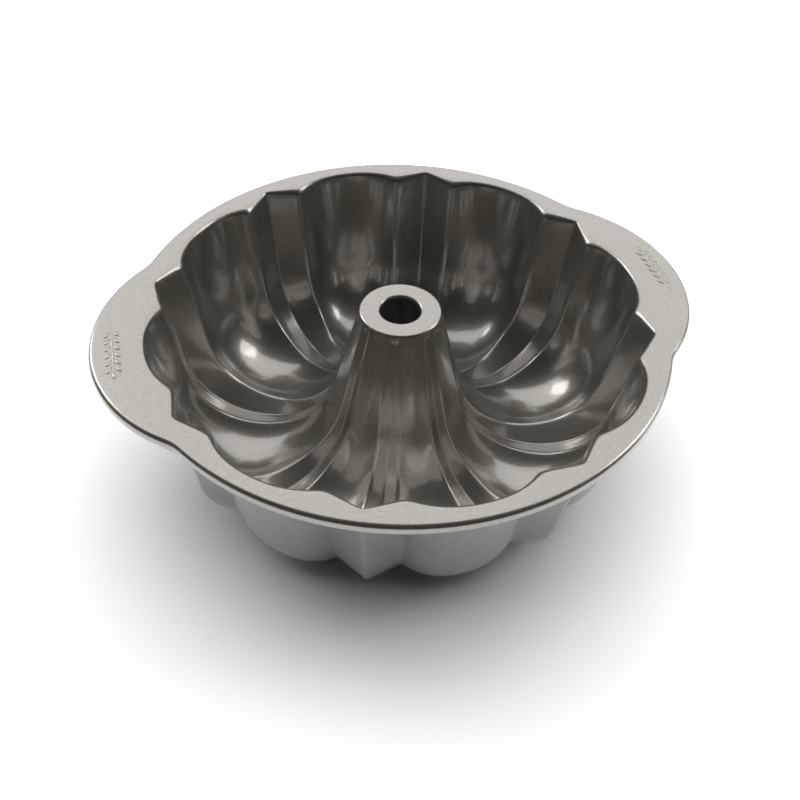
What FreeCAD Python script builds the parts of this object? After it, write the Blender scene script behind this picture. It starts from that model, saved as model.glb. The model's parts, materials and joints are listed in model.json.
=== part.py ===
import FreeCAD, Part
import math
import os
import Sketcher

# Fluted ring cake pan: one sheet of metal, pressed into eight round lobes parted by eight V flutes.
# The sheet runs from a flat rim with two ears, over a small bend, down the wall, across the floor
# and up the centre tube, which a flat cap with a vent hole closes. The rim's edge is turned down.
# Sizes are in millimetres and angles in degrees. The rim's top face is the bodies' own Z = 0, and
# each body is lifted so that the pan stands on Z = 0 with the tube's axis on Z and the ears on X.

SIZES = {
    "sheet": 1.6,             # thickness of the pressed sheet
    "rim_radius": 135.5,      # round part of the rim, over its turned-down edge
    "edge_round": 2.4,        # outside radius of the turn at the rim's edge
    "edge_height": 4.6,       # height of the turned-down edge
    "ear_reach": 16.5,        # how far an ear stands out past the round rim
    "ear_radius": 80.0,       # outer curve of an ear
    "ear_blend": 25.0,        # hollow curve between an ear and the round rim
    "ear_half_angle": 34.0,   # where an ear ends and the plain rim begins, either side of X
    "flute_half_angle": 8.3,  # from the bottom of a V flute to the ridge beside it
    "lobe_fullness": 2.4,     # 2 is a round lobe, and more is squarer
    "lobe_land": 7.2,         # width of the rim outside the middle of a lobe
    "ridge_land": 12.5,       # width of the rim outside a ridge
    "flute_land": 6.9,        # width of the rim outside the point of a V flute
    "lobe_bend": 2.6,         # bend from the rim into the wall, at the top face
    "ridge_bend": 4.6,
    "flute_bend": 2.0,
    "lobe_draft": 8.0,        # lean of the wall
    "ridge_draft": 8.5,
    "flute_draft": 7.7,
    "depth": 92.0,            # inside depth of lobes and flutes
    "ridge_rise": 5.6,        # how far a ridge stands above the floor of its lobe
    "lobe_neck": 20.6,        # outside radius of the tube just under its cap
    "ridge_neck": 21.1,
    "flute_neck": 19.7,
    "lobe_taper": 14.7,       # lean of the tube
    "ridge_taper": 15.1,
    "flute_taper": 14.7,
    "cap_drop": 1.6,          # how far the cap lies below the rim
    "cap_radius": 21.1,
    "cap_round": 1.0,
    "vent_radius": 10.2,      # hole through the cap
    "lip_depth": 4.0,         # turned-down lip of the vent hole, from the cap's top face
    "bend_band": 6.0,         # height of the band that holds the mouth's bend
    "floor_line": 55.0,       # level below the rim where the wall and the tube meet the floor
}
LOBES = 8
PITCH = 360.0 / LOBES
LOBE_STATIONS = (-1.0, -0.75, -0.5, -0.25, 0.0, 0.25, 0.5, 0.75, 1.0)

doc = FreeCAD.newDocument("bundt_pan")
sheet = doc.addObject("Spreadsheet::Sheet", "Sizes")
for row, (alias, value) in enumerate(SIZES.items(), start=1):
    sheet.set("A%d" % row, alias)
    sheet.set("B%d" % row, str(value))
    sheet.setAlias("B%d" % row, alias)
doc.recompute()


def cell(alias):
    return "Sizes." + alias


def value(alias):
    return float(sheet.get(alias))


LIFT = "%s + %s" % (cell("depth"), cell("sheet"))


def new_body(name):
    body = doc.addObject("PartDesign::Body", name)
    body.Label = name
    body.setExpression("Placement.Base.z", LIFT)
    return body


def origin_feature(body, role):
    return next(item for item in body.Origin.OriginFeatures if item.Role == role)


def new_sketch(body, name, plane):
    sketch = body.newObject("Sketcher::SketchObject", name)
    sketch.AttachmentSupport = (origin_feature(body, plane), [""])
    sketch.MapMode = "FlatFace"
    return sketch


def bind(sketch, name, kind, *where):
    """Add a constraint whose last item is an expression, and bind it to that expression."""
    expression = where[-1]
    index = sketch.addConstraint(Sketcher.Constraint(kind, *where[:-1]))
    sketch.renameConstraint(index, name)
    sketch.setExpression("Constraints." + name, expression)


# --- The section of the sheet at one angle round the pan -----------------------------------------
# A station between the middle of a lobe and its ridge mixes the two, by how far out it lies.

def mix(kind_a, kind_b, suffix, share):
    """The value and the expression that lie `share` of the way from one kind's size to another's."""
    first = value(kind_a + suffix)
    second = value(kind_b + suffix)
    text = "(%s + (%s - %s) * %s)" % (
        cell(kind_a + suffix), cell(kind_b + suffix), cell(kind_a + suffix), share["text"])
    return first + (second - first) * share["value"], text


def lobe_share(station):
    """How much of the ridge's shape a station in a lobe takes: 0 in the middle, 1 at the ridge."""
    return {
        "value": abs(station) ** value("lobe_fullness"),
        "text": "(%s ^ %s)" % (abs(station), cell("lobe_fullness")),
    }


WHOLE = {"value": 1.0, "text": "1"}


def section_sizes(kind, station):
    """Sizes of the section at a lobe's station, or at the bottom of a flute."""
    if kind == "flute":
        pair, share = ("lobe", "flute"), WHOLE
        rise = (0.0, "0")
    else:
        pair, share = ("lobe", "ridge"), lobe_share(station)
        rise = (value("ridge_rise") * share["value"],
                "%s * %s" % (cell("ridge_rise"), share["text"]))
    sizes = {}
    for suffix in ("land", "bend", "draft", "neck", "taper"):
        sizes[suffix] = mix(pair[0], pair[1], "_" + suffix, share)
    sizes["mouth"] = (value("rim_radius") - sizes["land"][0],
                      "%s - %s" % (cell("rim_radius"), sizes["land"][1]))
    sizes["depth"] = (value("depth") - rise[0], "%s - %s" % (cell("depth"), rise[1]))
    return sizes


def section_angle(kind, station):
    """Angle round the pan, as a value and an expression, counted from the middle of a lobe."""
    if kind == "flute":
        return PITCH / 2, "%s" % (PITCH / 2)
    if kind == "far_ridge":
        return (PITCH / 2 + value("flute_half_angle"),
                "%s + %s" % (PITCH / 2, cell("flute_half_angle")))
    return (station * (PITCH / 2 - value("flute_half_angle")),
            "%s * (%s - %s)" % (station, PITCH / 2, cell("flute_half_angle")))


def turn_sketch(sketch, kind, station):
    """Turn a sketch on the XZ plane round the tube's axis to its station."""
    angle, expression = section_angle(kind, station)
    sketch.AttachmentOffset = FreeCAD.Placement(
        FreeCAD.Vector(), FreeCAD.Rotation(FreeCAD.Vector(0, 1, 0), angle))
    sketch.setExpression("AttachmentOffset.Rotation.Angle", expression)


def sheet_section(body, name, kind, station=1.0):
    """Closed section of the sheet: bend, wall, floor arc and tube, inside and outside."""
    sizes = section_sizes(kind, station)
    sketch = new_sketch(body, name, "XZ_Plane")
    turn_sketch(sketch, kind, station)
    thick = value("sheet")
    mouth, bend = sizes["mouth"][0], sizes["bend"][0]
    draft = math.radians(sizes["draft"][0])
    taper = math.radians(sizes["taper"][0])
    neck, depth = sizes["neck"][0], sizes["depth"][0]
    neck_drop = value("cap_drop") + thick
    # Where the wall and the tube would cross the rim's plane, and the arc that touches both.
    wall_top = mouth - bend * (1 - math.sin(draft)) / math.cos(draft)
    tube_top = neck - math.tan(taper) * neck_drop
    lean = math.tan(draft) + math.tan(taper)
    reach = 1 / math.cos(draft) + 1 / math.cos(taper)
    radius = (wall_top - tube_top - lean * depth) / (reach - lean)
    centre_z = radius - depth
    centre_x = wall_top + math.tan(draft) * centre_z - radius / math.cos(draft)
    normal = FreeCAD.Vector(0, 0, 1)
    bend_centre = FreeCAD.Vector(mouth, -bend, 0)
    arc_centre = FreeCAD.Vector(centre_x, centre_z, 0)

    def on_arc(centre, size, angle):
        return centre + FreeCAD.Vector(math.cos(angle), math.sin(angle), 0) * size

    def arc(centre, size, start, end):
        return Part.ArcOfCircle(Part.Circle(centre, normal, size), start, end)

    top, wall_side = math.pi / 2, math.pi - draft
    tube_side, far_side = math.pi + taper, 2 * math.pi - draft
    neck_in = FreeCAD.Vector(neck, -neck_drop, 0)
    neck_out = neck_in - FreeCAD.Vector(thick / math.cos(taper), 0, 0)
    lines = {
        "bend": arc(bend_centre, bend, top, wall_side),
        "wall": Part.LineSegment(on_arc(arc_centre, radius, far_side),
                                 on_arc(bend_centre, bend, wall_side)),
        "floor": arc(arc_centre, radius, tube_side, far_side),
        "tube": Part.LineSegment(on_arc(arc_centre, radius, tube_side), neck_in),
        "neck": Part.LineSegment(neck_in, neck_out),
        "tube_out": Part.LineSegment(on_arc(arc_centre, radius + thick, tube_side), neck_out),
        "floor_out": arc(arc_centre, radius + thick, tube_side, far_side),
        "wall_out": Part.LineSegment(on_arc(arc_centre, radius + thick, far_side),
                                     on_arc(bend_centre, bend - thick, wall_side)),
        "bend_out": arc(bend_centre, bend - thick, top, wall_side),
        "rim_end": Part.LineSegment(on_arc(bend_centre, bend - thick, top),
                                    on_arc(bend_centre, bend, top)),
    }
    item = {key: sketch.addGeometry(shape, False) for key, shape in lines.items()}
    lowest = sketch.addGeometry(Part.Point(FreeCAD.Vector(centre_x, -depth, 0)), True)
    start, end, middle = 1, 2, 3
    joins = (
        ("Tangent", "bend", end, "wall", end), ("Tangent", "wall", start, "floor", end),
        ("Tangent", "floor", start, "tube", start), ("Coincident", "tube", end, "neck", start),
        ("Coincident", "neck", end, "tube_out", end),
        ("Tangent", "tube_out", start, "floor_out", start),
        ("Tangent", "floor_out", end, "wall_out", start),
        ("Tangent", "wall_out", end, "bend_out", end),
        ("Coincident", "bend_out", start, "rim_end", start),
        ("Coincident", "rim_end", end, "bend", start),
        ("Coincident", "bend", middle, "bend_out", middle),
        ("Coincident", "floor", middle, "floor_out", middle),
    )
    for kind_of_join, first, first_end, second, second_end in joins:
        sketch.addConstraint(Sketcher.Constraint(
            kind_of_join, item[first], first_end, item[second], second_end))
    for constraint in (
            Sketcher.Constraint("Vertical", item["rim_end"]),
            Sketcher.Constraint("Horizontal", item["neck"]),
            Sketcher.Constraint("PointOnObject", item["bend"], start, -1),
            Sketcher.Constraint("Vertical", item["bend"], start, item["bend"], middle),
            Sketcher.Constraint("Parallel", item["wall"], item["wall_out"]),
            Sketcher.Constraint("Parallel", item["tube"], item["tube_out"]),
            Sketcher.Constraint("PointOnObject", lowest, start, item["floor"]),
            Sketcher.Constraint("Vertical", lowest, start, item["floor"], middle)):
        sketch.addConstraint(constraint)
    bind(sketch, "bend_radius", "Radius", item["bend"], bend, sizes["bend"][1])
    bind(sketch, "thickness", "Distance", item["rim_end"], thick, cell("sheet"))
    bind(sketch, "mouth", "DistanceX", -1, start, item["bend"], start, mouth, sizes["mouth"][1])
    bind(sketch, "draft", "Angle", item["wall"], math.pi / 2 - draft,
         "90 - %s" % sizes["draft"][1])
    bind(sketch, "taper", "Angle", item["tube"], math.pi / 2 + taper,
         "90 + %s" % sizes["taper"][1])
    bind(sketch, "neck", "DistanceX", -1, start, item["tube"], end, neck, sizes["neck"][1])
    bind(sketch, "neck_drop", "DistanceY", item["tube"], end, -1, start, neck_drop,
         "%s + %s" % (cell("cap_drop"), cell("sheet")))
    bind(sketch, "depth", "DistanceY", lowest, start, -1, start, depth, sizes["depth"][1])
    return sketch


def mouth_section(body, name, kind, station=1.0):
    """Upright rectangle that ends where the flat rim ends and the bend begins."""
    sizes = section_sizes(kind, station)
    sketch = new_sketch(body, name, "XZ_Plane")
    turn_sketch(sketch, kind, station)
    mouth, thick = sizes["mouth"][0], value("sheet")
    inner = mouth / 2
    corners = [FreeCAD.Vector(inner, -2 * thick, 0), FreeCAD.Vector(mouth, -2 * thick, 0),
               FreeCAD.Vector(mouth, thick, 0), FreeCAD.Vector(inner, thick, 0)]
    for first, second in zip(corners, corners[1:] + corners[:1]):
        sketch.addGeometry(Part.LineSegment(first, second), False)
    for side in range(4):
        sketch.addConstraint(Sketcher.Constraint("Coincident", side, 2, (side + 1) % 4, 1))
        sketch.addConstraint(Sketcher.Constraint("Vertical" if side % 2 else "Horizontal", side))
    bind(sketch, "mouth", "DistanceX", -1, 1, 1, 2, mouth, sizes["mouth"][1])
    bind(sketch, "inner", "DistanceX", -1, 1, 3, 2, inner, "(%s) / 2" % sizes["mouth"][1])
    bind(sketch, "above", "DistanceY", -1, 1, 1, 2, thick, cell("sheet"))
    bind(sketch, "below", "DistanceY", 1, 1, -1, 1, 2 * thick, "2 * " + cell("sheet"))
    return sketch


def loft_round(body, feature_type, section):
    """Loft one lobe and one V flute through their sections, and repeat the pair round the pan."""
    lobe_sketches = [section(body, "lobe_section_%d" % number, "lobe", station)
                     for number, station in enumerate(LOBE_STATIONS, start=1)]
    flute_sketches = [lobe_sketches[-1], section(body, "flute_section", "flute"),
                      section(body, "far_ridge_section", "far_ridge")]
    doc.recompute()
    lofts = []
    for name, sketches, ruled in (("lobe", lobe_sketches, False), ("flute", flute_sketches, True)):
        loft = body.newObject(feature_type, name + "_loft")
        loft.Profile = sketches[0]
        loft.Sections = [(sketch, [""]) for sketch in sketches[1:]]
        loft.Ruled = ruled
        doc.recompute()
        lofts.append(loft)
    pattern = body.newObject("PartDesign::PolarPattern", "round_the_pan")
    pattern.Originals = lofts
    pattern.Axis = (origin_feature(body, "Z_Axis"), [""])
    pattern.Angle = 360
    pattern.Occurrences = LOBES
    body.Tip = pattern
    doc.recompute()


pressing = new_body("pressing")
loft_round(pressing, "PartDesign::AdditiveLoft", sheet_section)


# --- The flat rim with its ears ------------------------------------------------------------------

def ear_outline(body, name, inset=0.0, inset_text="0"):
    """Round rim, two ears on X, and a hollow curve at each side of an ear, all drawn `inset` in."""
    sketch = new_sketch(body, name, "XY_Plane")
    rim, ear = value("rim_radius") - inset, value("ear_radius") - inset
    blend = value("ear_blend") + inset
    ear_x = value("rim_radius") + value("ear_reach") - value("ear_radius")
    from_origin, from_ear = rim + blend, ear + blend
    blend_x = (from_origin ** 2 - from_ear ** 2 + ear_x ** 2) / (2 * ear_x)
    blend_y = math.sqrt(from_origin ** 2 - blend_x ** 2)
    rim_angle = math.atan2(blend_y, blend_x)
    ear_angle = math.atan2(blend_y, blend_x - ear_x)
    up = FreeCAD.Vector(0, 0, 1)

    def arc(x, y, radius, start, end):
        circle = Part.Circle(FreeCAD.Vector(x, y, 0), up, radius)
        return sketch.addGeometry(Part.ArcOfCircle(circle, start, end), False)

    half_turn = math.pi
    right_ear = arc(ear_x, 0, ear, -ear_angle, ear_angle)
    back_rim = arc(0, 0, rim, rim_angle, half_turn - rim_angle)
    left_ear = arc(-ear_x, 0, ear, half_turn - ear_angle, half_turn + ear_angle)
    front_rim = arc(0, 0, rim, half_turn + rim_angle, 2 * half_turn - rim_angle)
    # A hollow arc has its centre outside the rim, so it starts at the rim at two corners and at the
    # ear at the other two.
    back_right = arc(blend_x, blend_y, blend, half_turn + rim_angle, half_turn + ear_angle)
    back_left = arc(-blend_x, blend_y, blend, -ear_angle, -rim_angle)
    front_left = arc(-blend_x, -blend_y, blend, rim_angle, ear_angle)
    front_right = arc(blend_x, -blend_y, blend, half_turn - ear_angle, half_turn - rim_angle)
    start, end, middle = 1, 2, 3
    for first, first_end, second, second_end in (
            (right_ear, end, back_right, end), (back_right, start, back_rim, start),
            (back_rim, end, back_left, end), (back_left, start, left_ear, start),
            (left_ear, end, front_left, end), (front_left, start, front_rim, start),
            (front_rim, end, front_right, end), (front_right, start, right_ear, start)):
        sketch.addConstraint(Sketcher.Constraint("Tangent", first, first_end, second, second_end))
    for centred in (back_rim, front_rim):
        sketch.addConstraint(Sketcher.Constraint("Coincident", centred, middle, -1, start))
    for on_x in (right_ear, left_ear):
        sketch.addConstraint(Sketcher.Constraint("PointOnObject", on_x, middle, -1))
    centre = "%s + %s - %s" % (cell("rim_radius"), cell("ear_reach"), cell("ear_radius"))
    bind(sketch, "right_x", "DistanceX", -1, start, right_ear, middle, ear_x, centre)
    bind(sketch, "left_x", "DistanceX", left_ear, middle, -1, start, ear_x, centre)
    rim_text = "%s - %s" % (cell("rim_radius"), inset_text)
    ear_text = "%s - %s" % (cell("ear_radius"), inset_text)
    blend_text = "%s + %s" % (cell("ear_blend"), inset_text)
    for constraint_name, edge, size, expression in (
            ("back_radius", back_rim, rim, rim_text), ("front_radius", front_rim, rim, rim_text),
            ("right_radius", right_ear, ear, ear_text), ("left_radius", left_ear, ear, ear_text),
            ("blend_1", back_right, blend, blend_text), ("blend_2", back_left, blend, blend_text),
            ("blend_3", front_left, blend, blend_text), ("blend_4", front_right, blend, blend_text)):
        bind(sketch, constraint_name, "Radius", edge, size, expression)
    return sketch


def round_outline(body, name, expression):
    sketch = new_sketch(body, name, "XY_Plane")
    radius = value("rim_radius") * 2 / 3
    circle = Part.Circle(FreeCAD.Vector(), FreeCAD.Vector(0, 0, 1), radius)
    edge = sketch.addGeometry(circle, False)
    sketch.addConstraint(Sketcher.Constraint("Coincident", edge, 3, -1, 1))
    bind(sketch, "hole_radius", "Radius", edge, radius, expression)
    return sketch


def round_edges(body, name, level, expression):
    """Fillet every edge that lies flat at a level of the body's own Z."""
    solid = body.Tip
    flat = ["Edge%d" % number for number, edge in enumerate(solid.Shape.Edges, start=1)
            if all(abs(vertex.Z - level) < 1e-6 for vertex in edge.Vertexes)]
    fillet = body.newObject("PartDesign::Fillet", name)
    fillet.Base = (solid, flat)
    fillet.setExpression("Radius", expression)
    doc.recompute()


flat_rim = new_body("flat_rim")
rim_pad = flat_rim.newObject("PartDesign::Pad", "rim_pad")
rim_pad.Profile = ear_outline(flat_rim, "rim_outline")
rim_pad.Reversed = True
rim_pad.setExpression("Length", cell("edge_height"))
doc.recompute()
round_edges(flat_rim, "turn_outside", 0.0, cell("edge_round"))
under_rim = flat_rim.newObject("PartDesign::Pocket", "under_rim")
under_rim.Profile = ear_outline(flat_rim, "inner_outline", value("sheet"), cell("sheet"))
under_rim.Profile[0].setExpression("AttachmentOffset.Base.z", "-" + cell("sheet"))
under_rim.Type = "ThroughAll"
doc.recompute()
round_edges(flat_rim, "turn_inside", -value("sheet"),
            "%s - %s" % (cell("edge_round"), cell("sheet")))
# The middle goes first in one round cut, and then the lobes and flutes of the mouth.
middle_hole = flat_rim.newObject("PartDesign::Pocket", "middle_hole")
middle_hole.Profile = round_outline(flat_rim, "hole_outline", cell("rim_radius") + " * 2 / 3")
middle_hole.Type = "ThroughAll"
doc.recompute()
loft_round(flat_rim, "PartDesign::SubtractiveLoft", mouth_section)


# --- The cap on the tube -------------------------------------------------------------------------

def cap_section(body, name):
    """Half section of the cap: flat ring, rounded outer edge, and a lip turned down at the hole."""
    sketch = new_sketch(body, name, "XZ_Plane")
    thick, drop, lip = value("sheet"), value("cap_drop"), value("lip_depth")
    outer, rounding, vent = value("cap_radius"), value("cap_round"), value("vent_radius")
    corner = FreeCAD.Vector(outer - rounding, -drop - rounding, 0)
    points = [
        (vent, -drop), (outer - rounding, -drop), (outer, -drop - rounding),
        (outer, -drop - thick), (vent + thick, -drop - thick), (vent + thick, -drop - lip),
        (vent, -drop - lip)]
    points = [FreeCAD.Vector(x, y, 0) for x, y in points]
    top = sketch.addGeometry(Part.LineSegment(points[0], points[1]), False)
    edge = sketch.addGeometry(Part.ArcOfCircle(
        Part.Circle(corner, FreeCAD.Vector(0, 0, 1), rounding), 0, math.pi / 2), False)
    rest = [sketch.addGeometry(Part.LineSegment(first, second), False)
            for first, second in zip(points[2:], points[3:] + points[:1])]
    side, under, lip_out, lip_end, bore = rest
    sketch.addConstraint(Sketcher.Constraint("Tangent", top, 2, edge, 2))
    sketch.addConstraint(Sketcher.Constraint("Tangent", edge, 1, side, 1))
    for first, second in ((side, under), (under, lip_out), (lip_out, lip_end), (lip_end, bore),
                          (bore, top)):
        sketch.addConstraint(Sketcher.Constraint("Coincident", first, 2, second, 1))
    for flat in (top, under, lip_end):
        sketch.addConstraint(Sketcher.Constraint("Horizontal", flat))
    for upright in (side, lip_out, bore):
        sketch.addConstraint(Sketcher.Constraint("Vertical", upright))
    bind(sketch, "vent", "DistanceX", -1, 1, top, 1, vent, cell("vent_radius"))
    bind(sketch, "outer", "DistanceX", -1, 1, side, 1, outer, cell("cap_radius"))
    bind(sketch, "drop", "DistanceY", top, 1, -1, 1, drop, cell("cap_drop"))
    bind(sketch, "rounding", "Radius", edge, rounding, cell("cap_round"))
    bind(sketch, "ring_thickness", "DistanceY", side, 2, -1, 1, drop + thick,
         "%s + %s" % (cell("cap_drop"), cell("sheet")))
    bind(sketch, "lip_thickness", "DistanceX", lip_end, 2, lip_end, 1, thick, cell("sheet"))
    bind(sketch, "lip_depth", "DistanceY", lip_end, 1, -1, 1, drop + lip,
         "%s + %s" % (cell("cap_drop"), cell("lip_depth")))
    return sketch


tube_cap = new_body("tube_cap")
cap_turn = tube_cap.newObject("PartDesign::Revolution", "cap_turn")
cap_turn.Profile = cap_section(tube_cap, "cap_outline")
cap_turn.ReferenceAxis = (origin_feature(tube_cap, "Z_Axis"), [""])
cap_turn.Angle = 360
doc.recompute()


# --- The zones of the pressing and of the rim ----------------------------------------------------
# Levels are heights above the floor that the pan stands on.

OVER = 10.0                   # how far a cutting shape reaches past what it cuts
BAND_LEVEL = "%s - %s" % (LIFT, cell("bend_band"))
FLOOR_LEVEL = "%s - %s" % (LIFT, cell("floor_line"))
TOP_LEVEL = "%s + %s" % (LIFT, OVER)
MIDDLE = "(%s - %s) / 2" % (cell("rim_radius"), cell("ridge_land"))
OUTSIDE = "%s + %s + %s" % (cell("rim_radius"), cell("ear_reach"), OVER)


def cylinder(name, radius, low, high):
    shape = doc.addObject("Part::Cylinder", name)
    shape.setExpression("Radius", radius)
    shape.setExpression("Height", "(%s) - (%s)" % (high, low))
    shape.setExpression("Placement.Base.z", low)
    return shape


def ring(name, low, high):
    """Thick ring between the middle of the batter space and the outside of the pan."""
    cut = doc.addObject("Part::Cut", name)
    cut.Base = cylinder(name + "_outside", OUTSIDE, low, high)
    cut.Tool = cylinder(name + "_inside", MIDDLE, low, high)
    return cut


def zone(name, base, tool):
    common = doc.addObject("Part::Common", name)
    common.Base = base
    common.Tool = tool
    common.Label = name
    return common


def rim_sector(name, start, sweep):
    """Slice of a cylinder from one angle round the pan, for parting the ears from the rim."""
    sector = cylinder(name, OUTSIDE, BAND_LEVEL, TOP_LEVEL)
    sector.setExpression("Angle", sweep)
    sector.setExpression("Placement.Rotation.Angle", start)
    return sector


EAR_SWEEP = "2 * " + cell("ear_half_angle")
RIM_SWEEP = "180 - 2 * " + cell("ear_half_angle")

zones = [
    zone("mouth_bend", pressing, ring("bend_ring", BAND_LEVEL, TOP_LEVEL)),
    zone("fluted_wall", pressing, ring("wall_ring", FLOOR_LEVEL, BAND_LEVEL)),
    zone("fluted_floor", pressing, cylinder("floor_disc", OUTSIDE, "-%s" % OVER, FLOOR_LEVEL)),
    zone("centre_tube", pressing, cylinder("tube_core", MIDDLE, FLOOR_LEVEL, TOP_LEVEL)),
    zone("back_rim", flat_rim, rim_sector("back_sector", cell("ear_half_angle"), RIM_SWEEP)),
    zone("front_rim", flat_rim,
         rim_sector("front_sector", "180 + " + cell("ear_half_angle"), RIM_SWEEP)),
    zone("left_ear", flat_rim,
         rim_sector("left_sector", "180 - " + cell("ear_half_angle"), EAR_SWEEP)),
    zone("right_ear", flat_rim,
         rim_sector("right_sector", "360 - " + cell("ear_half_angle"), EAR_SWEEP)),
    tube_cap,
]
doc.recompute()

# --- Check and write -----------------------------------------------------------------------------

failed = [item.Name for item in doc.Objects
          if "Invalid" in item.State or "Error" in item.State]
failed += [item.Label for item in zones
           if item.Shape.isNull() or not item.Shape.isValid() or not item.Shape.Solids]
if failed:
    raise RuntimeError("failed: " + ", ".join(failed))
os.makedirs("parts", exist_ok=True)
for item in zones:
    item.Shape.exportStep("parts/%s.step" % item.Label)
    box = item.Shape.optimalBoundingBox()
    print("%-14s %d solid(s) %9.1f mm3  z %.2f to %.2f" % (
        item.Label, len(item.Shape.Solids), item.Shape.Volume, box.ZMin, box.ZMax))
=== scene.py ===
import json
import math

import bmesh
import bpy
from mathutils import Matrix, Vector


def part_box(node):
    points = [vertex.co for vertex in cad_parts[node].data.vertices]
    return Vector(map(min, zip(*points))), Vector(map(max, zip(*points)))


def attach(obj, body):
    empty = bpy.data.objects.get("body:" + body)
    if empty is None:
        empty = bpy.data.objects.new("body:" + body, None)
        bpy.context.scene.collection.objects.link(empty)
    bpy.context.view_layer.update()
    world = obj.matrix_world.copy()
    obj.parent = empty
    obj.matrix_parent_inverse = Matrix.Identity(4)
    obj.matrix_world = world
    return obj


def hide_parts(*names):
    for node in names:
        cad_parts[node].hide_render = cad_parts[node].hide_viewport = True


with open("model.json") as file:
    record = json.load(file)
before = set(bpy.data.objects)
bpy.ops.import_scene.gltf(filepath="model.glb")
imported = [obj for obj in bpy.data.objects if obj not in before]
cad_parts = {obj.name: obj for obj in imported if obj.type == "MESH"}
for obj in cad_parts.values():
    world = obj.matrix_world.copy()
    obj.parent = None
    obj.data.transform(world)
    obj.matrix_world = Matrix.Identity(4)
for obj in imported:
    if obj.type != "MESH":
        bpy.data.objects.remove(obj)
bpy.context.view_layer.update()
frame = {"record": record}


# --- The press tool --------------------------------------------------------------------------
# The pan is one aluminium sheet, drawn by a press tool into eight round lobes parted by V flutes
# round a tapered tube. These sizes are the tool's: of a lobe's middle, a ridge beside a flute,
# and the bottom of a flute. Anything between them is mixed or runs straight.

LOBES = 8
PITCH = 2 * math.pi / LOBES
FLUTE_HALF = math.radians(8.3)
LOBE_HALF = PITCH / 2 - FLUTE_HALF
LOBE_FULLNESS = 2.4

SHEET = 0.0016
RIM_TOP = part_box("right_ear")[1].z
DEPTH = RIM_TOP - SHEET
RIM_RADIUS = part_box("back_rim")[1].y
BEND_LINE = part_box("mouth_bend")[0].z - RIM_TOP
FLOOR_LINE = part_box("fluted_floor")[1].z - RIM_TOP
NECK_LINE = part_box("centre_tube")[1].z - RIM_TOP

LOBE = {"land": 0.0072, "bend": 0.0026, "draft": math.radians(8.0), "rise": 0.0,
        "neck": 0.0206, "taper": math.radians(14.7)}
RIDGE = {"land": 0.0125, "bend": 0.0046, "draft": math.radians(8.5), "rise": 0.0056,
         "neck": 0.0211, "taper": math.radians(15.1)}
FLUTE = {"land": 0.0069, "bend": 0.0020, "draft": math.radians(7.7), "rise": 0.0,
         "neck": 0.0197, "taper": math.radians(14.7)}


def drawn(sizes):
    """Adds the radius and centre of the floor's arc, which touches the wall and the tube."""
    draft, taper = sizes["draft"], sizes["taper"]
    mouth = RIM_RADIUS - sizes["land"]
    wall_top = mouth - sizes["bend"] * (1 - math.sin(draft)) / math.cos(draft)
    tube_top = sizes["neck"] + math.tan(taper) * NECK_LINE
    lean = math.tan(draft) + math.tan(taper)
    reach = 1 / math.cos(draft) + 1 / math.cos(taper)
    radius = (wall_top - tube_top - lean * (DEPTH - sizes["rise"])) / (reach - lean)
    centre_z = radius + sizes["rise"] - DEPTH
    centre_x = wall_top + math.tan(draft) * centre_z - radius / math.cos(draft)
    return dict(sizes, mouth=mouth, wall_top=wall_top, tube_top=tube_top, radius=radius,
                centre_x=centre_x, centre_z=centre_z)


def wall_radius(shape, level):
    if level >= shape["centre_z"] - shape["radius"] * math.sin(shape["draft"]):
        return shape["wall_top"] + math.tan(shape["draft"]) * level
    return shape["centre_x"] + math.sqrt(shape["radius"] ** 2 - (level - shape["centre_z"]) ** 2)


def tube_radius(shape, level):
    if level >= shape["centre_z"] - shape["radius"] * math.sin(shape["taper"]):
        return shape["tube_top"] - math.tan(shape["taper"]) * level
    return shape["centre_x"] - math.sqrt(shape["radius"] ** 2 - (level - shape["centre_z"]) ** 2)


def section_point(shape, zone, share):
    """Radius and level below the rim of the point that lies `share` of the way through a zone."""
    if zone == "bend":
        angle = math.pi / 2 + share * (math.pi / 2 - shape["draft"])
        return (shape["mouth"] + shape["bend"] * math.cos(angle),
                shape["bend"] * (math.sin(angle) - 1))
    if zone == "wall":
        level = BEND_LINE + share * (FLOOR_LINE - BEND_LINE)
        return wall_radius(shape, level), level
    if zone == "tube":
        level = NECK_LINE + (1 - share) ** 1.6 * (FLOOR_LINE - NECK_LINE)
        return tube_radius(shape, level), level
    from_wall = math.atan2(FLOOR_LINE - shape["centre_z"],
                           wall_radius(shape, FLOOR_LINE) - shape["centre_x"])
    from_tube = math.atan2(FLOOR_LINE - shape["centre_z"],
                           tube_radius(shape, FLOOR_LINE) - shape["centre_x"])
    angle = from_wall + share * (from_tube - from_wall)
    past_wall = max(0.0, angle + shape["draft"])
    past_tube = max(0.0, shape["taper"] - math.pi - angle)
    reach = shape["radius"] / math.cos(past_wall + past_tube)
    return (shape["centre_x"] + reach * math.cos(angle),
            shape["centre_z"] + reach * math.sin(angle))


RIDGE_SHAPE = drawn(RIDGE)
FLUTE_SHAPE = drawn(FLUTE)


def turned(radius, turn, level):
    return Vector((radius * math.cos(turn), radius * math.sin(turn), level))


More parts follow.
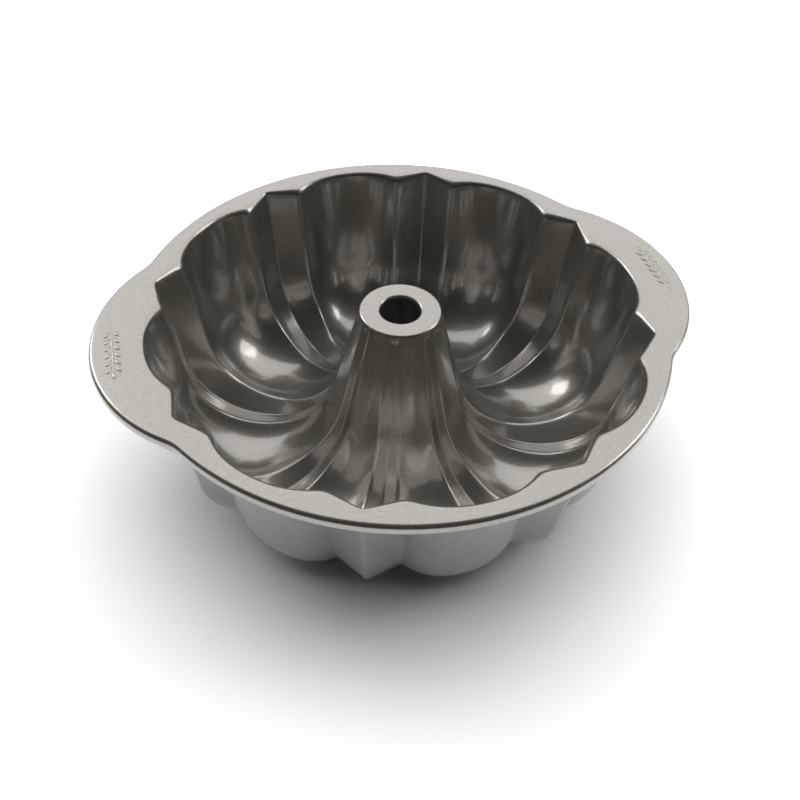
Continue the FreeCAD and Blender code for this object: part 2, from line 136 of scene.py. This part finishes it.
def sharp_point(zone, share, turn):
    """A point of the tool before its ridges and flutes are eased. The turn is counted from the
    middle of a lobe, up to a little past the bottom of the next flute."""
    if turn > PITCH / 2:
        point = sharp_point(zone, share, PITCH - turn)
        point.y = -point.y
        point.rotate(Matrix.Rotation(PITCH, 3, "Z"))
        return point
    if turn <= LOBE_HALF:
        mix = abs(turn / LOBE_HALF) ** LOBE_FULLNESS
        shape = drawn({size: LOBE[size] + (RIDGE[size] - LOBE[size]) * mix for size in LOBE})
        radius, level = section_point(shape, zone, share)
        return turned(radius, turn, level)
    ridge_radius, ridge_level = section_point(RIDGE_SHAPE, zone, share)
    flute_radius, flute_level = section_point(FLUTE_SHAPE, zone, share)
    ridge = turned(ridge_radius, LOBE_HALF, ridge_level)
    flute = turned(flute_radius, PITCH / 2, flute_level)
    return ridge.lerp(flute, (turn - LOBE_HALF) / FLUTE_HALF)


RIDGE_EASE = 0.0011              # half width of the easing on a ridge, at the pan's middle
RIDGE_EASE_GAIN = 0.0075         # and how much wider it gets with the distance from there
FLUTE_EASE = 0.0008
MOUTH_EASE = 0.0042              # what is added to both where the rim begins to bend
EASE_WEIGHTS = (1, 2, 3, 4, 5, 6, 5, 4, 3, 2, 1)


def eased_point(zone, share, turn):
    """The same point once the tool's ridges and flutes are eased, by averaging across them."""
    radius = section_point(RIDGE_SHAPE, zone, share)[0]
    ease = FLUTE_EASE
    if turn < LOBE_HALF + FLUTE_HALF / 2:
        ease = RIDGE_EASE + RIDGE_EASE_GAIN * radius
    if zone == "bend":
        ease += MOUTH_EASE * (1 - share)
    middle = len(EASE_WEIGHTS) // 2
    point = Vector()
    for place, weight in enumerate(EASE_WEIGHTS):
        point += sharp_point(zone, share, turn + ease / radius * (place / middle - 1)) * weight
    return point / sum(EASE_WEIGHTS)


# --- The sheet -------------------------------------------------------------------------------
# A flat ring of sheet metal, spun up with one ring of points for each ring of the finished pan,
# and then pressed onto the tool. Its outside is a circle with two ears for the hands, and its
# edge is turned down. Its middle is folded in to the tube's flat cap and the vent hole's lip.

EAR_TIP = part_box("right_ear")[1].x
EAR_RADIUS = 0.080
EAR_HOLLOW = 0.025
EAR_CENTRE = EAR_TIP - EAR_RADIUS
HOLLOW_X = ((RIM_RADIUS + EAR_HOLLOW) ** 2 - (EAR_RADIUS + EAR_HOLLOW) ** 2
            + EAR_CENTRE ** 2) / (2 * EAR_CENTRE)
HOLLOW_Y = math.sqrt((RIM_RADIUS + EAR_HOLLOW) ** 2 - HOLLOW_X ** 2)
HOLLOW_START = math.atan2(HOLLOW_Y, HOLLOW_X)


def outline_radius(turn, inset):
    """Radius of a line that runs `inset` inside the outline: round an ear, through the hollow
    beside it, or along the plain circle."""
    from_ear = abs(math.atan2(math.sin(turn), math.cos(turn)))
    from_ear = min(from_ear, math.pi - from_ear)
    hollow_centre = RIM_RADIUS + EAR_HOLLOW
    ear, hollow = EAR_RADIUS - inset, EAR_HOLLOW + inset
    ear_share = ear / (ear + hollow)
    ear_end = math.atan2(HOLLOW_Y * ear_share, EAR_CENTRE + (HOLLOW_X - EAR_CENTRE) * ear_share)
    if from_ear >= HOLLOW_START:
        return RIM_RADIUS - inset
    if from_ear <= ear_end:
        aside = EAR_CENTRE * math.sin(from_ear)
        return EAR_CENTRE * math.cos(from_ear) + math.sqrt(ear ** 2 - aside ** 2)
    aside = hollow_centre * math.sin(HOLLOW_START - from_ear)
    return hollow_centre * math.cos(HOLLOW_START - from_ear) - math.sqrt(hollow ** 2 - aside ** 2)


EDGE_ROUND = 0.0024              # outer radius of the turn between the flat rim and its edge
EDGE_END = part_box("back_rim")[0].z - RIM_TOP
EDGE_PATH = [(0, EDGE_END), (0, (EDGE_END - EDGE_ROUND) / 2)]
EDGE_PATH += [(EDGE_ROUND * (1 - math.cos(math.radians(turn))),
               EDGE_ROUND * (math.sin(math.radians(turn)) - 1))
              for turn in range(0, 91, 10)]

CAP_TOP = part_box("tube_cap")[1].z - RIM_TOP
CAP_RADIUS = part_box("tube_cap")[1].x
CAP_ROUND = 0.0017
LIP_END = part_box("tube_cap")[0].z - RIM_TOP
LIP_ROUND = 0.0018
VENT_RADIUS = next(mount["dims"]["r_mm"] for mount in frame["record"]["mounts"]
                   if mount["name"] == "vent_hole") / 1000
NECK_FADE = 0.004                # length below the cap over which the tube turns from fluted to round

CAP_PATH = [(CAP_RADIUS - CAP_ROUND * (1 - math.cos(math.radians(turn))),
             CAP_TOP - CAP_ROUND * (1 - math.sin(math.radians(turn))))
            for turn in (0, 18, 36, 54, 72, 90)]
CAP_PATH += [(CAP_PATH[-1][0] + (VENT_RADIUS + LIP_ROUND - CAP_PATH[-1][0]) * share, CAP_TOP)
             for share in (1 / 3, 2 / 3)]
CAP_PATH += [(VENT_RADIUS + LIP_ROUND * (1 - math.cos(math.radians(turn))),
              CAP_TOP - LIP_ROUND * (1 - math.sin(math.radians(turn))))
             for turn in (90, 72, 54, 36, 18, 0)]
CAP_PATH += [(VENT_RADIUS, (CAP_TOP - LIP_ROUND + LIP_END) / 2), (VENT_RADIUS, LIP_END)]

RINGS = [("edge", step) for step in range(len(EDGE_PATH))]
RINGS += [("rim", step / 6) for step in range(1, 6)]
RINGS += [("bend", step / 6) for step in range(7)]
RINGS += [("wall", step / 14) for step in range(14)]
RINGS += [("floor", step / 44) for step in range(44)]
RINGS += [("tube", step / 20) for step in range(20)]
RINGS += [("cap", step) for step in range(len(CAP_PATH))]
LOBE_STEPS = 14
FLUTE_STEPS = 12
HALF_STEPS = LOBE_STEPS + FLUTE_STEPS
COLUMNS = LOBES * 2 * HALF_STEPS


def pressed_in_half_pitch(zone, share, column):
    """Where the tool puts a point, for columns from a lobe's middle to the flute beside it. The
    columns crowd together where the sheet is creased."""
    if column <= LOBE_STEPS:
        turn = LOBE_HALF * math.sin(math.pi / 2 * column / LOBE_STEPS)
    else:
        through = (column - LOBE_STEPS) / FLUTE_STEPS
        turn = LOBE_HALF + FLUTE_HALF * (1 - math.cos(math.pi * through)) / 2
    if zone == "cap":
        radius, level = CAP_PATH[share]
        return turned(radius, turn, level)
    if zone in ("edge", "rim"):
        return eased_point("bend", 0.0, turn)
    point = eased_point(zone, share, turn)
    if zone == "tube" and point.z > NECK_LINE - NECK_FADE:
        fade = 1 - (NECK_LINE - point.z) / NECK_FADE
        neck = CAP_RADIUS + (NECK_LINE - point.z) * math.tan(LOBE["taper"])
        point = point.lerp(turned(neck, turn, point.z), fade * fade * (3 - 2 * fade))
    return point


half_pitch = {(ring, column): pressed_in_half_pitch(zone, share, column)
              for ring, (zone, share) in enumerate(RINGS) for column in range(HALF_STEPS + 1)}


def pressed(ring, column):
    lobe, along = divmod(column + HALF_STEPS, 2 * HALF_STEPS)
    along -= HALF_STEPS
    point = half_pitch[ring, abs(along)].copy()
    point.y = math.copysign(point.y, along)
    point.rotate(Matrix.Rotation(lobe * PITCH, 3, "Z"))
    zone, share = RINGS[ring]
    if zone in ("edge", "rim"):
        inset, point.z = EDGE_PATH[share if zone == "edge" else -1]
        edge = point.xy.normalized() * outline_radius(math.atan2(point.y, point.x), inset)
        point.xy = edge.lerp(point.xy, share if zone == "rim" else 0)
    point.z += RIM_TOP
    return point


sheet = bmesh.new()
points = [sheet.verts.new((ring + 1.0, 0, 0)) for ring in range(len(RINGS))]
lines = [sheet.edges.new(pair) for pair in zip(points, points[1:])]
bmesh.ops.spin(sheet, geom=points + lines, cent=(0, 0, 0), axis=(0, 0, 1),
               angle=2 * math.pi, steps=COLUMNS, use_merge=True)
ring_of_vert = sheet.verts.layers.int.new("ring")
ring_of_face = sheet.faces.layers.int.new("ring")
lie = sheet.verts.layers.float_vector.new("lie")
for vert in sheet.verts:
    vert[ring_of_vert] = round(vert.co.length) - 1
for face in sheet.faces:
    face[ring_of_face] = min(vert[ring_of_vert] for vert in face.verts)
for vert in sheet.verts:
    column = round(math.atan2(vert.co.y, vert.co.x) / (2 * math.pi) * COLUMNS) % COLUMNS
    vert.co = pressed(vert[ring_of_vert], column)
sheet.normal_update()
if sum(face.normal.z for face in sheet.faces if RINGS[face[ring_of_face]][0] == "rim") < 0:
    bmesh.ops.reverse_faces(sheet, faces=sheet.faces[:])
    sheet.normal_update()
for vert in sheet.verts:
    vert[lie] = vert.normal * vert.calc_shell_factor()


# --- The release coating ---------------------------------------------------------------------
# Warm grey metallic coating, baked on inside and out under a glossy clear film. It is satin, with
# fine metal flakes in it that catch the light one by one, and clouds where it lies a little
# duller. On the outer side of the sheet its colour is darkened and cooled: painted shade for the
# outside walls and undersides.

def add_node(tree, kind, **settings):
    node = tree.nodes.new(kind)
    for name, value in settings.items():
        setattr(node, name, value)
    return node


coating = bpy.data.materials.new("warm grey release coating")
coating.use_nodes = True
tree = coating.node_tree
link = tree.links.new
metal = tree.nodes["Principled BSDF"]
metal.inputs["Metallic"].default_value = 0.85
metal.inputs["Coat Weight"].default_value = 1.0
metal.inputs["Coat IOR"].default_value = 2.1
metal.inputs["Coat Roughness"].default_value = 0.12
place = add_node(tree, "ShaderNodeTexCoord")
flakes = add_node(tree, "ShaderNodeTexVoronoi")
flakes.inputs["Scale"].default_value = 1400.0
clouds = add_node(tree, "ShaderNodeTexNoise")
clouds.inputs["Scale"].default_value = 28.0
clouds.inputs["Detail"].default_value = 3.0
link(place.outputs["Object"], flakes.inputs["Vector"])
link(place.outputs["Object"], clouds.inputs["Vector"])
flake = add_node(tree, "ShaderNodeSeparateColor")
link(flakes.outputs["Color"], flake.inputs[0])
tint = add_node(tree, "ShaderNodeMix", data_type="RGBA")
tint.inputs["A"].default_value = (0.225, 0.214, 0.183, 1.0)
tint.inputs["B"].default_value = (0.29, 0.276, 0.236, 1.0)
link(flake.outputs[0], tint.inputs["Factor"])
# On the outer side of the sheet the coating's colour is multiplied darker and cooler: painted shade.
shaded_outer_side = add_node(tree, "ShaderNodeAttribute", attribute_name="outer side")
outer_painted_shade = add_node(tree, "ShaderNodeMix", data_type="RGBA", blend_type="MULTIPLY")
outer_painted_shade.inputs["B"].default_value = (0.55, 0.57, 0.61, 1.0)
link(shaded_outer_side.outputs["Fac"], outer_painted_shade.inputs["Factor"])
link(tint.outputs["Result"], outer_painted_shade.inputs["A"])
link(outer_painted_shade.outputs["Result"], metal.inputs["Base Color"])
satin = add_node(tree, "ShaderNodeMapRange")
satin.inputs["To Min"].default_value = 0.30
satin.inputs["To Max"].default_value = 0.38
link(clouds.outputs["Fac"], satin.inputs["Value"])
link(satin.outputs["Result"], metal.inputs["Roughness"])
grain = add_node(tree, "ShaderNodeBump")
grain.inputs["Strength"].default_value = 0.12
grain.inputs["Distance"].default_value = 0.0001
link(flake.outputs[1], grain.inputs["Height"])
link(grain.outputs["Normal"], metal.inputs["Normal"])


# --- Flat rim and ears -----------------------------------------------------------------------
# The part of the sheet that stays flat round the mouth. It widens to an ear at each side, and its
# edge is turned down. Like every zone here it is parted from the one pressed sheet, keeps the
# sheet's own lie at the joins, and gets the sheet's thickness underneath.

CUT_ROUND = 0.0004               # radius that the sheet's cut edges are dressed to
TOP, UNDER, EDGE, JOIN = 1, -1, 2, 0


def part_from_sheet(name, node, wanted, edge_ring=None):
    """Parts the faces that `wanted` picks from the sheet and makes them a closed piece that
    stands for a CAD node. The edge at `edge_ring` is an edge of the sheet, and gets rounded."""
    part = sheet.copy()
    rings = part.verts.layers.int["ring"]
    lies = part.verts.layers.float_vector["lie"]
    side = part.faces.layers.int.new("side")
    waste = [copy for copy, face in zip(part.faces, sheet.faces) if not wanted(face)]
    bmesh.ops.delete(part, geom=waste, context="FACES")
    top = part.faces[:]
    grown = bmesh.ops.extrude_face_region(part, geom=top, use_keep_orig=True)["geom"]
    under = {face for face in grown if isinstance(face, bmesh.types.BMFace)}
    for vert in grown:
        if isinstance(vert, bmesh.types.BMVert):
            vert.co -= vert[lies] * SHEET
    bmesh.ops.recalc_face_normals(part, faces=part.faces[:])
    top = set(top)
    for face in part.faces:
        face[side] = TOP if face in top else UNDER if face in under else JOIN
    cut = [edge for edge in part.edges if {face[side] for face in edge.link_faces} & {TOP, UNDER}
           and JOIN in {face[side] for face in edge.link_faces}
           and all(vert[rings] == edge_ring for vert in edge.verts)]
    if cut:
        rounded = bmesh.ops.bevel(part, geom=cut, offset=CUT_ROUND, offset_type="OFFSET",
                                  segments=3, profile=0.5, affect="EDGES", material=-1)
        for face in rounded["faces"]:
            face[side] = EDGE
    for face in part.faces:
        face.smooth = True
    for edge in part.edges:
        edge.smooth = edge.calc_face_angle(0.0) < math.radians(40)
    mesh = bpy.data.meshes.new(name)
    part.to_mesh(mesh)
    part.free()
    sides = [value.value for value in mesh.attributes["side"].data]
    normals = [value.vector.normalized() for value in mesh.attributes["lie"].data]
    lying = [Vector()] * len(mesh.loops)
    for face in mesh.polygons:
        if sides[face.index] in (TOP, UNDER):
            for corner in face.loop_indices:
                lying[corner] = normals[mesh.loops[corner].vertex_index] * sides[face.index]
    mesh.normals_split_custom_set(lying)
    # Marks the sheet's outer side, where the coating's colour is darkened as painted shade.
    shaded_outer_side = mesh.attributes.new("outer side", "FLOAT", "FACE")
    shaded_outer_side.data.foreach_set("value", [float(side == UNDER) for side in sides])
    for layer in ("side", "lie", "ring"):
        for attribute in [a for a in mesh.attributes if a.name == layer]:
            mesh.attributes.remove(attribute)
    mesh.materials.append(coating)
    piece = bpy.data.objects.new(name, mesh)
    bpy.context.scene.collection.objects.link(piece)
    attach(piece, "root")
    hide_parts(node)
    return piece


EAR_HALF_TURN = math.radians(34)


def in_zone(face, *zones):
    return RINGS[face[ring_of_face]][0] in zones


def rim_part(face):
    middle = face.calc_center_median()
    turn = abs(math.atan2(middle.y, middle.x))
    if turn < EAR_HALF_TURN:
        return "right_ear"
    if turn > math.pi - EAR_HALF_TURN:
        return "left_ear"
    return "back_rim" if middle.y > 0 else "front_rim"


for rim_node in ("front_rim", "back_rim", "left_ear", "right_ear"):
    part_from_sheet("pressed_" + rim_node, rim_node, edge_ring=0,
                    wanted=lambda face: in_zone(face, "edge", "rim") and rim_part(face) == rim_node)


# --- Drawn lobes and flutes ------------------------------------------------------------------
# The batter's space: the small bend that turns the rim down, the nearly upright wall, and the
# floor that carries the same lobes and flutes round to the tube.

part_from_sheet("pressed_mouth_bend", "mouth_bend", lambda face: in_zone(face, "bend"))
part_from_sheet("pressed_wall", "fluted_wall", lambda face: in_zone(face, "wall"))
part_from_sheet("pressed_floor", "fluted_floor", lambda face: in_zone(face, "floor"))


# --- Tube and cap ----------------------------------------------------------------------------
# The tapered tube lets hot air up through the cake's middle. Its flutes die out under a flat cap,
# whose vent hole has a short lip turned down into the tube.

part_from_sheet("pressed_tube", "centre_tube", lambda face: in_zone(face, "tube"))
part_from_sheet("pressed_cap", "tube_cap", lambda face: in_zone(face, "cap"),
                edge_ring=len(RINGS) - 1)


# --- Ear sprigs ------------------------------------------------------------------------------
# A small wheat sprig stands in relief on each ear, as plain decoration: a stem with pairs of
# grains. It is struck up from the sheet in the same press stroke, so it has the same coating.

SPRIG_X = 0.1405
GRAIN_LENGTH = 0.0046
GRAIN_WIDTH = 0.0020
GRAIN_RISE = 0.0004
GRAIN_PAIRS = 6
GRAIN_STEP = 0.0050
GRAIN_ASIDE = 0.0021             # from the stem to the middle of a grain
GRAIN_LEAN = math.radians(34)
TIP_GAP = 0.0012
STEM_HALF_SIZE = (0.0004, 0.0195, 0.00035)
STEM_SHIFT = 0.002               # how far the stem's middle lies towards its foot


def add_grain(sprig, centre, turn, length):
    """A low oval bead that is sunk to its waist in the ear."""
    grain = bmesh.ops.create_uvsphere(sprig, u_segments=16, v_segments=8, radius=1.0)["verts"]
    bmesh.ops.scale(sprig, verts=grain, vec=(GRAIN_WIDTH / 2, length / 2, GRAIN_RISE))
    bmesh.ops.rotate(sprig, verts=grain, matrix=Matrix.Rotation(turn, 3, "Z"))
    bmesh.ops.translate(sprig, verts=grain, vec=centre)


def make_sprig(name, side):
    sprig = bmesh.new()
    middle = Vector((side * SPRIG_X, 0, RIM_TOP))
    for pair in range(GRAIN_PAIRS):
        along = (pair - (GRAIN_PAIRS - 1) / 2) * GRAIN_STEP * side
        for aside in (-1, 1):
            centre = middle + Vector((aside * GRAIN_ASIDE, along, 0))
            add_grain(sprig, centre, -aside * side * GRAIN_LEAN, GRAIN_LENGTH)
    tip = middle + Vector((0, GRAIN_PAIRS / 2 * GRAIN_STEP * side + TIP_GAP * side, 0))
    add_grain(sprig, tip, 0, GRAIN_LENGTH)
    stem = bmesh.ops.create_uvsphere(sprig, u_segments=16, v_segments=8, radius=1.0)["verts"]
    bmesh.ops.scale(sprig, verts=stem, vec=STEM_HALF_SIZE)
    bmesh.ops.translate(sprig, verts=stem, vec=middle - Vector((0, STEM_SHIFT * side, 0)))
    for face in sprig.faces:
        face.smooth = True
    mesh = bpy.data.meshes.new(name)
    sprig.to_mesh(mesh)
    sprig.free()
    mesh.materials.append(coating)
    piece = bpy.data.objects.new(name, mesh)
    bpy.context.scene.collection.objects.link(piece)
    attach(piece, "root")


make_sprig("left_ear_sprig", -1)
make_sprig("right_ear_sprig", 1)


# --- Table, light and camera -----------------------------------------------------------------
# A plain white table in a soft studio: one bright box at each side, a broad one behind and above,
# two fills that don't show in the gloss, and a dim room in front. The view looks down into the
# pan from the front.

table_mesh = bpy.data.meshes.new("table")
table_build = bmesh.new()
bmesh.ops.create_grid(table_build, x_segments=1, y_segments=1, size=1.15)
table_build.to_mesh(table_mesh)
table_build.free()
table = bpy.data.objects.new("table", table_mesh)
bpy.context.scene.collection.objects.link(table)
paper = bpy.data.materials.new("white paper")
paper.use_nodes = True
paper.node_tree.nodes["Principled BSDF"].inputs["Base Color"].default_value = (0.9, 0.9, 0.9, 1.0)
paper.node_tree.nodes["Principled BSDF"].inputs["Roughness"].default_value = 0.9
table_mesh.materials.append(paper)

CAMERA_SPOT = Vector((-0.09872, -0.32453, 0.37765))
CAMERA_RIGHT = Vector((0.96322, -0.26721, 0.02853))
CAMERA_UP = Vector((0.17339, 0.69908, 0.69370))
CAMERA_BACK = Vector((-0.20531, -0.66324, 0.71969))
camera_lens = bpy.data.cameras.new("studio camera")
camera_lens.lens = 39.39
camera_lens.sensor_width = 36.0
camera_lens.clip_start = 0.01
camera = bpy.data.objects.new("studio camera", camera_lens)
turn = Matrix((CAMERA_RIGHT, CAMERA_UP, CAMERA_BACK)).transposed().to_4x4()
camera.matrix_world = Matrix.Translation(CAMERA_SPOT) @ turn
bpy.context.scene.collection.objects.link(camera)
bpy.context.scene.camera = camera

VIEW_AZIMUTH = math.atan2(CAMERA_BACK.y, CAMERA_BACK.x)


def add_softbox(name, azimuth, elevation, distance, size, radiance, seen=True):
    """An oblong light facing the pan's middle. The azimuth is counted from the camera's side."""
    light = bpy.data.lights.new(name, "AREA")
    light.shape = "RECTANGLE"
    light.size, light.size_y = size
    light.energy = radiance * size[0] * size[1] * math.pi
    lamp = bpy.data.objects.new(name, light)
    turn = VIEW_AZIMUTH + math.radians(azimuth)
    lift = math.radians(elevation)
    away = Vector((math.cos(turn) * math.cos(lift), math.sin(turn) * math.cos(lift),
                   math.sin(lift)))
    lamp.rotation_euler = away.to_track_quat("Z", "Y").to_euler()
    lamp.location = away * distance + Vector((0, 0, RIM_TOP))
    lamp.visible_glossy = seen
    bpy.context.scene.collection.objects.link(lamp)


add_softbox("right softbox", 103, 28, 1.6, (0.5, 1.1), 3.1)
add_softbox("left softbox", -122, 29, 1.6, (0.5, 1.0), 2.9)
add_softbox("back softbox", 180, 50, 2.2, (6.4, 3.0), 1.38)
add_softbox("ceiling fill", 172, 82, 2.5, (3.0, 3.0), 2.5, seen=False)
add_softbox("left fill", -90, 45, 2.5, (2.0, 2.0), 0.5, seen=False)

studio = bpy.data.worlds.new("studio")
studio.use_nodes = True
bpy.context.scene.world = studio
room = studio.node_tree
room_link = room.links.new
air = room.nodes["Background"]
outward = add_node(room, "ShaderNodeTexCoord")
facing = add_node(room, "ShaderNodeVectorMath", operation="DOT_PRODUCT")
facing.inputs[1].default_value = (math.cos(VIEW_AZIMUTH), math.sin(VIEW_AZIMUTH), 0)
room_link(outward.outputs["Generated"], facing.inputs[0])
dimming = add_node(room, "ShaderNodeMapRange")
dimming.inputs["From Min"].default_value = 0.0
dimming.inputs["From Max"].default_value = 0.7
dimming.inputs["To Min"].default_value = 0.55
dimming.inputs["To Max"].default_value = 0.10
room_link(facing.outputs["Value"], dimming.inputs["Value"])
room_link(dimming.outputs["Result"], air.inputs["Strength"])
backdrop = add_node(room, "ShaderNodeBackground")
backdrop.inputs["Strength"].default_value = 1.3
through_lens = add_node(room, "ShaderNodeLightPath")
either = add_node(room, "ShaderNodeMixShader")
room_link(through_lens.outputs["Is Camera Ray"], either.inputs[0])
room_link(air.outputs[0], either.inputs[1])
room_link(backdrop.outputs[0], either.inputs[2])
room_link(either.outputs[0], room.nodes["World Output"].inputs["Surface"])

bpy.context.scene.view_settings.view_transform = "Standard"
